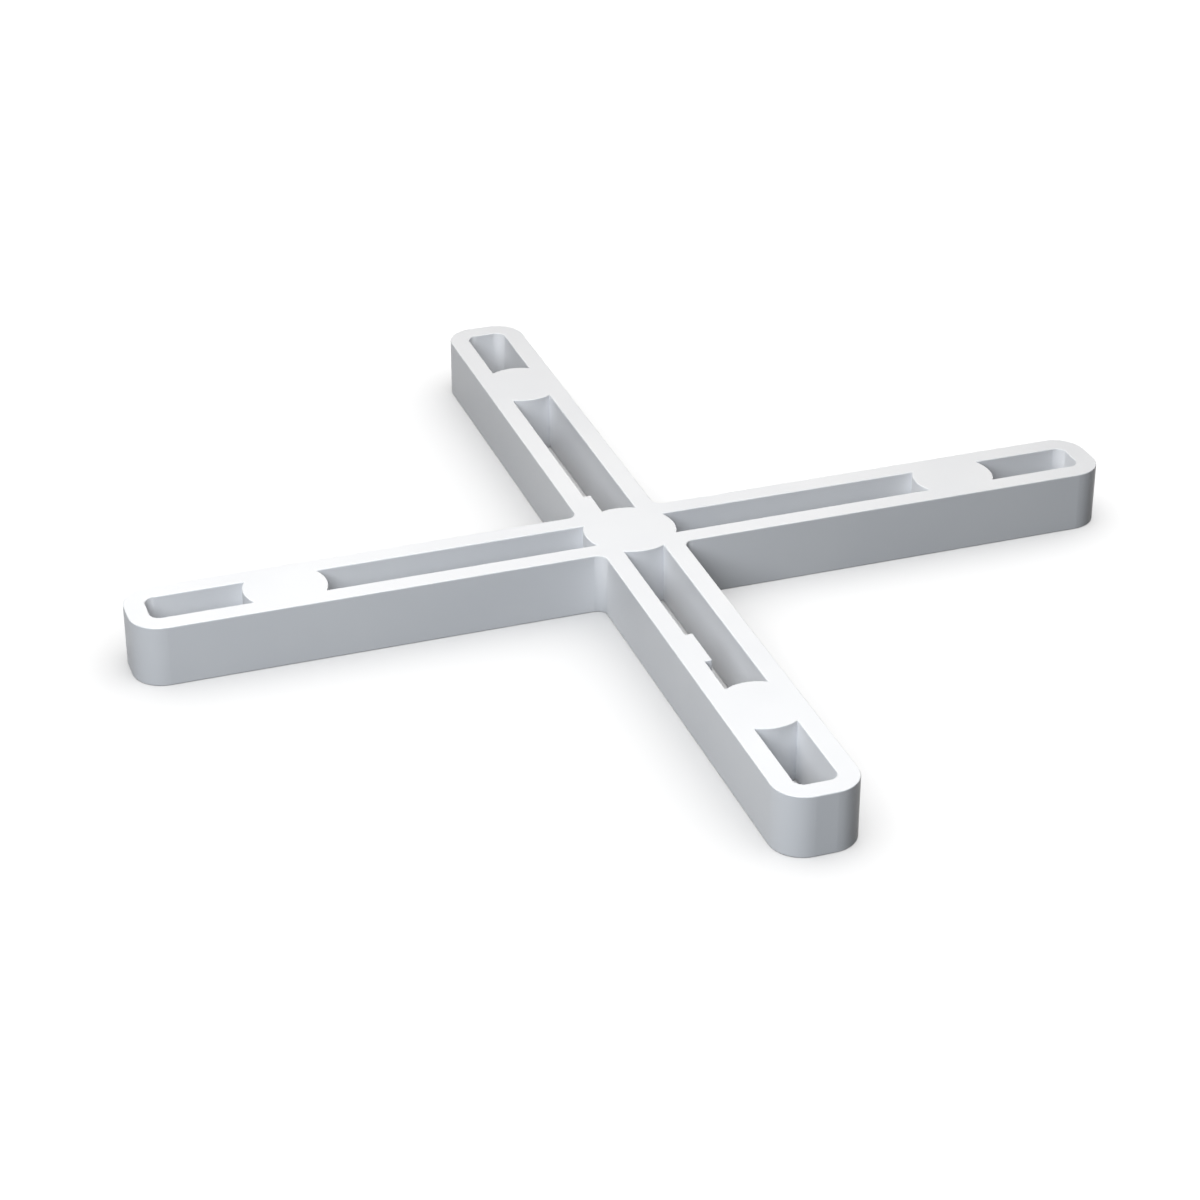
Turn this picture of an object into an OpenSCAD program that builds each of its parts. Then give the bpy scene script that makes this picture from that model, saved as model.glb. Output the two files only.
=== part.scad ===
// Cross-shaped tile spacer, moulded in one piece.
// Four equal arms stand in the joints where four tile corners meet, and keep the tiles apart.
// The origin is on the lower face, at the centre of the cross. X and Y run along the arms, Z is up.

/* [Joint] */
// Width of the joint that the spacer keeps open, which is the width of every arm
joint_w = 4; // [3:0.5:10]
// Height of the spacer, from the face it stands on to its upper face
height = 3.05; // [1.5:0.05:10]

/* [Arms] */
// Reach of each arm, from the centre of the cross to the arm's tip
arm_reach = 24.5; // [18:0.5:60]
// Radius of the two upright corners at each tip
tip_corner_r = 1.5; // [0.2:0.1:3]
// Radius of the upright fillet in each corner between two arms
junction_r = 0.5; // [0.1:0.1:3]

/* [Pockets] */
// Wall left between a pocket and the arm's side faces
side_wall = 1; // [0.5:0.1:1.2]
// Wall left between the outer pocket and the arm's tip
tip_wall = 1; // [0.5:0.1:3]
// Radius of the two upright corners at the outer end of each outer pocket
pocket_corner_r = 0.5; // [0.1:0.1:2]

/* [Bosses] */
// Distance from each arm's tip back to the centre of its round boss, which is as wide as the arm
boss_from_tip = 7.5; // [5.5:0.5:9]
// How far the round hub reaches past the width of an arm, on each side
hub_margin = 0.25; // [0:0.05:2]

/* [Pads] */
// How far each pad stands in from the pocket wall that carries it
pad_proud = 0.35; // [0.1:0.05:0.5]
// Length of the pad beside the hub, from where the hub meets the pocket wall
hub_pad_len = 1.9; // [0.5:0.1:4]
// Length of the pad that stands free in the opposite arm
free_pad_len = 2.5; // [0.5:0.1:3]
// Length of bare pocket wall between the free pad and the boss
free_pad_gap = 2.5; // [0.5:0.1:4]

/* [Hidden] */
$fn = 180;

ARMS = 4;
arm_half = joint_w / 2;
pocket_half = arm_half - side_wall;
pocket_end = arm_reach - tip_wall;
tip_r = min(tip_corner_r, arm_half);
pocket_r = min(pocket_corner_r, pocket_half);
boss_r = arm_half;
boss_at = arm_reach - boss_from_tip;
hub_r = arm_half + hub_margin;

// Where the arc of the hub, and of a boss, meets the wall of a pocket, measured along the arm
hub_meets_wall = sqrt(hub_r * hub_r - pocket_half * pocket_half);
boss_meets_wall = boss_at - sqrt(boss_r * boss_r - pocket_half * pocket_half);
hub_pad_end = hub_meets_wall + hub_pad_len;
free_pad_end = boss_meets_wall - free_pad_gap;

// A flat bar along +X from the centre, with its two outer corners rounded
module round_ended_bar(reach, half_w, corner_r) {
    translate([0, -half_w]) square([reach - corner_r, 2 * half_w]);
    translate([0, corner_r - half_w]) square([reach, 2 * (half_w - corner_r)]);
    for (side = [-1, 1])
        translate([reach - corner_r, side * (half_w - corner_r)]) circle(corner_r);
}

// The fillet between the arm along +X and the arm along +Y
module junction_fillet() {
    translate([arm_half, arm_half]) difference() {
        square(junction_r);
        translate([junction_r, junction_r]) circle(junction_r);
    }
}

// Outline of the whole cross, seen from above
module cross_outline() {
    for (i = [0 : ARMS - 1])
        rotate(i * 360 / ARMS) {
            round_ended_bar(arm_reach, arm_half, tip_r);
            junction_fillet();
        }
}

// One arm's pockets, long and short, with the hub and the arm's boss left standing between them
module arm_pockets() {
    difference() {
        round_ended_bar(pocket_end, pocket_half, pocket_r);
        circle(hub_r);
        translate([boss_at, 0]) circle(boss_r);
    }
}

// A pad against the pocket wall on the -X side, between two places along Y
module wall_pad(from_y, to_y) {
    rooted = side_wall / 2;
    translate([-pocket_half - rooted, from_y]) square([rooted + pad_proud, to_y - from_y]);
}

// One stretch of the +Y arm and one of the -Y arm carry a pad
module pads() {
    wall_pad(0, hub_pad_end);
    wall_pad(-free_pad_end, free_pad_len - free_pad_end);
}

module tile_spacer() {
    color("whitesmoke") linear_extrude(height) {
        difference() {
            cross_outline();
            for (i = [0 : ARMS - 1])
                rotate(i * 360 / ARMS) arm_pockets();
        }
        pads();
    }
}

tile_spacer();
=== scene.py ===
"""A moulded plastic tile spacer, lying on a plain pale studio floor."""
import math

import bpy
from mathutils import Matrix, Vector


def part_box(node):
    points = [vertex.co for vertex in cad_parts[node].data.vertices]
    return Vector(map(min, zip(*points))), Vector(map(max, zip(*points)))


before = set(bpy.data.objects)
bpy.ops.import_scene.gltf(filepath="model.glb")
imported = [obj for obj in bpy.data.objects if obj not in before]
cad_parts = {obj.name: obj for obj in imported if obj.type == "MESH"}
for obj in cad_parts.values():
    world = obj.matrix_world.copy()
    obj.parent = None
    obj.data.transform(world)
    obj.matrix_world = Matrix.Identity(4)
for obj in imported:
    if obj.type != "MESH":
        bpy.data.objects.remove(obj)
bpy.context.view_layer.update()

MM = 0.001
SPACER = "tile_spacer"

# The camera, as fitted to the photograph's straight edges
VIEW_AZIMUTH = math.radians(-19.153)
VIEW_ELEVATION = math.radians(29.687)
VIEW_DISTANCE = 147.51 * MM
VIEW_TARGET = Vector((-1.859, -0.990, 0.0)) * MM
SENSOR_WIDTH = 36.0
LENS = 92.024

# The floor's own light: how bright it makes the open floor, where 1 is white, how wide the sky it stands for is,
# and how far the sky's middle leans towards +X
FLOOR_ALBEDO = 0.87
FLOOR_LEVEL = 1.14
FLOOR_LIGHT_SPREAD = math.radians(150)
FLOOR_LIGHT_LEAN = math.radians(10)

# Radius of the soft edge that the mould leaves, and the angle from which an outward edge gets it
EDGE_RADIUS = 0.05 * MM
EDGE_SEGMENTS = 3
EDGE_ANGLE = math.radians(40)
WELD_DISTANCE = 0.001 * MM
# Triangles that meet at less than this are one flat face
FLAT_ANGLE = math.radians(1)


def new_material(name):
    """An empty node material with its shader and output already joined."""
    material = bpy.data.materials.new(name)
    material.use_nodes = True
    nodes, links = material.node_tree.nodes, material.node_tree.links
    nodes.clear()
    output = nodes.new("ShaderNodeOutputMaterial")
    shader = nodes.new("ShaderNodeBsdfPrincipled")
    links.new(shader.outputs["BSDF"], output.inputs["Surface"])
    return material, nodes, links, shader


def noise(nodes, links, place, size, detail=2.0):
    """Noise whose blotches are about as wide as size, in metres, at the object's own scale."""
    texture = nodes.new("ShaderNodeTexNoise")
    texture.inputs["Scale"].default_value = 1.0 / size
    texture.inputs["Detail"].default_value = detail
    links.new(place.outputs["Object"], texture.inputs["Vector"])
    return texture.outputs["Fac"]


def spread(nodes, links, factor, low, high):
    """Maps a noise value to a range."""
    ramp = nodes.new("ShaderNodeMapRange")
    ramp.inputs["From Min"].default_value = 0.3
    ramp.inputs["From Max"].default_value = 0.7
    ramp.inputs["To Min"].default_value = low
    ramp.inputs["To Max"].default_value = high
    links.new(factor, ramp.inputs["Value"])
    return ramp.outputs["Result"]


def moulded_plastic():
    """White satin plastic: a faint cloudiness in the colour, and the fine grain of the mould in the surface."""
    material, nodes, links, shader = new_material("white_moulded_plastic")
    place = nodes.new("ShaderNodeTexCoord")
    cloud = noise(nodes, links, place, 6.0 * MM)
    colour = nodes.new("ShaderNodeMix")
    colour.data_type = "RGBA"
    colour.inputs["A"].default_value = (0.800, 0.808, 0.830, 1.0)
    colour.inputs["B"].default_value = (0.840, 0.846, 0.862, 1.0)
    links.new(spread(nodes, links, cloud, 0.0, 1.0), colour.inputs["Factor"])
    links.new(colour.outputs["Result"], shader.inputs["Base Color"])
    grain = noise(nodes, links, place, 0.12 * MM, detail=3.0)
    links.new(spread(nodes, links, grain, 0.38, 0.50), shader.inputs["Roughness"])
    bump = nodes.new("ShaderNodeBump")
    bump.inputs["Strength"].default_value = 0.25
    bump.inputs["Distance"].default_value = 0.004 * MM
    links.new(grain, bump.inputs["Height"])
    links.new(bump.outputs["Normal"], shader.inputs["Normal"])
    shader.inputs["IOR"].default_value = 1.49
    return material


def floor_material():
    """Matt off-white paper."""
    material, nodes, links, shader = new_material("studio_paper")
    shader.inputs["Base Color"].default_value = (FLOOR_ALBEDO, FLOOR_ALBEDO, FLOOR_ALBEDO, 1.0)
    shader.inputs["Roughness"].default_value = 0.9
    shader.inputs["Specular IOR Level"].default_value = 0.1
    return material


def edges_that(nodes, links, angle, operation, limit):
    """Picks the edges whose angle is past a limit."""
    compare = nodes.new("FunctionNodeCompare")
    compare.data_type = "FLOAT"
    compare.operation = operation
    compare.inputs["B"].default_value = limit
    links.new(angle, compare.inputs["A"])
    return compare.outputs["Result"]


def mark_edges(nodes, links, geometry, name, kind, picked):
    """Stores a named value on the edges, and gives back the geometry that carries it."""
    store = nodes.new("GeometryNodeStoreNamedAttribute")
    store.data_type = kind
    store.domain = "EDGE"
    store.inputs["Name"].default_value = name
    links.new(geometry, store.inputs["Geometry"])
    links.new(picked, store.inputs["Value"])
    return store.outputs["Geometry"]


def hard_edge_marker():
    """Nodes that mark the hard edges: the outward ones for the bevel, and the inside corners as sharp."""
    group = bpy.data.node_groups.new("hard_edges", "GeometryNodeTree")
    group.interface.new_socket("Geometry", in_out="INPUT", socket_type="NodeSocketGeometry")
    group.interface.new_socket("Geometry", in_out="OUTPUT", socket_type="NodeSocketGeometry")
    nodes, links = group.nodes, group.links
    angle = nodes.new("GeometryNodeInputMeshEdgeAngle").outputs["Signed Angle"]
    outward = edges_that(nodes, links, angle, "GREATER_THAN", EDGE_ANGLE)
    inward = edges_that(nodes, links, angle, "LESS_THAN", -EDGE_ANGLE)
    geometry = nodes.new("NodeGroupInput").outputs["Geometry"]
    geometry = mark_edges(nodes, links, geometry, "bevel_weight_edge", "FLOAT", outward)
    geometry = mark_edges(nodes, links, geometry, "sharp_edge", "BOOLEAN", inward)
    links.new(geometry, nodes.new("NodeGroupOutput").inputs["Geometry"])
    return group


def break_edges(spacer):
    """Breaks the outward edges with the small radius that a mould leaves. The flat faces keep their own normals."""
    weld = spacer.modifiers.new("weld", "WELD")
    weld.merge_threshold = WELD_DISTANCE
    whole_faces = spacer.modifiers.new("whole_faces", "DECIMATE")
    whole_faces.decimate_type = "DISSOLVE"
    whole_faces.angle_limit = FLAT_ANGLE
    marker = spacer.modifiers.new("hard_edges", "NODES")
    marker.node_group = hard_edge_marker()
    bevel = spacer.modifiers.new("edge_radius", "BEVEL")
    bevel.width = EDGE_RADIUS
    bevel.segments = EDGE_SEGMENTS
    bevel.limit_method = "WEIGHT"
    bevel.use_clamp_overlap = False
    bevel.loop_slide = False
    normals = spacer.modifiers.new("flat_face_normals", "WEIGHTED_NORMAL")
    normals.mode = "FACE_AREA_WITH_ANGLE"
    normals.keep_sharp = True


def dress_spacer():
    """The CAD solid itself, with its plastic and its soft edges."""
    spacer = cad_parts[SPACER]
    spacer.material_slots[0].material = moulded_plastic()
    break_edges(spacer)
    return spacer


def build_floor(low):
    """A wide flat sheet just under the spacer."""
    half = 3.0
    mesh = bpy.data.meshes.new("floor")
    corners = [(-half, -half, low), (half, -half, low), (half, half, low), (-half, half, low)]
    mesh.from_pydata(corners, [], [(0, 1, 2, 3)])
    mesh.materials.append(floor_material())
    floor = bpy.data.objects.new("floor", mesh)
    bpy.context.scene.collection.objects.link(floor)
    floor.visible_diffuse = False
    return floor


def aim(obj, target):
    """Turns a camera or a light at obj's own place so that it looks at target."""
    obj.rotation_euler = (target - obj.location).to_track_quat("-Z", "Y").to_euler()


def from_above(azimuth, elevation, distance, target=Vector((0, 0, 0))):
    """The place at a distance from target, seen along an azimuth and an elevation given in radians."""
    back = Vector((
        math.sin(azimuth) * math.cos(elevation),
        -math.cos(azimuth) * math.cos(elevation),
        math.sin(elevation),
    ))
    return target + distance * back


def build_camera():
    data = bpy.data.cameras.new("camera")
    data.sensor_fit = "HORIZONTAL"
    data.sensor_width = SENSOR_WIDTH
    data.lens = LENS
    data.clip_start = 0.005
    data.clip_end = 20.0
    camera = bpy.data.objects.new("camera", data)
    bpy.context.scene.collection.objects.link(camera)
    camera.location = from_above(VIEW_AZIMUTH, VIEW_ELEVATION, VIEW_DISTANCE, VIEW_TARGET)
    aim(camera, VIEW_TARGET)
    bpy.context.scene.camera = camera
    return camera


def light_object(name, kind, colour, receiver):
    """A light that reaches one object alone."""
    data = bpy.data.lights.new(name, kind)
    data.color = colour
    light = bpy.data.objects.new(name, data)
    bpy.context.scene.collection.objects.link(light)
    lit = bpy.data.collections.new("lit_by_" + name)
    lit.objects.link(receiver)
    light.light_linking.receiver_collection = lit
    return light


def softbox(name, receiver, azimuth_deg, elevation_deg, distance, size, power, colour=(1, 1, 1)):
    """A round soft light that looks at the middle of the spacer."""
    light = light_object(name, "AREA", colour, receiver)
    light.data.shape = "DISK"
    light.data.size = size
    light.data.energy = power
    light.location = from_above(math.radians(azimuth_deg), math.radians(elevation_deg), distance)
    aim(light, Vector((0, 0, 0)))
    return light


def light_spacer(spacer):
    """A soft key from the front left, a wider one above it, a top light and a low fill from behind."""
    cool, warm = (0.945, 1.0, 1.055), (1.04, 1.0, 0.945)
    softbox("key", spacer, -39, 35, 0.13, 0.08, 0.089, cool)
    softbox("wide_key", spacer, -45, 60, 0.25, 0.2, 0.14, cool)
    softbox("top", spacer, -100, 79, 0.13, 0.08, 0.120, warm)
    softbox("fill", spacer, 125, 12, 0.5, 0.2, 0.7)


def light_floor(floor):
    """An even soft light from above, a little over the exposure, as on a product picture's white ground."""
    light = light_object("floor_light", "SUN", (1, 1, 1), floor)
    light.data.angle = FLOOR_LIGHT_SPREAD
    light.rotation_euler.y = FLOOR_LIGHT_LEAN
    light.data.energy = FLOOR_LEVEL * math.pi / FLOOR_ALBEDO
    return light


def build_world():
    """No light of its own, but white where the camera looks past the floor."""
    world = bpy.data.worlds.new("studio")
    world.use_nodes = True
    nodes, links = world.node_tree.nodes, world.node_tree.links
    background = nodes["Background"]
    background.inputs["Color"].default_value = (1, 1, 1, 1)
    path = nodes.new("ShaderNodeLightPath")
    links.new(path.outputs["Is Camera Ray"], background.inputs["Strength"])
    bpy.context.scene.world = world


spacer = dress_spacer()
floor = build_floor(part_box(SPACER)[0].z)
build_camera()
light_spacer(spacer)
light_floor(floor)
build_world()
bpy.context.scene.view_settings.view_transform = "Standard"
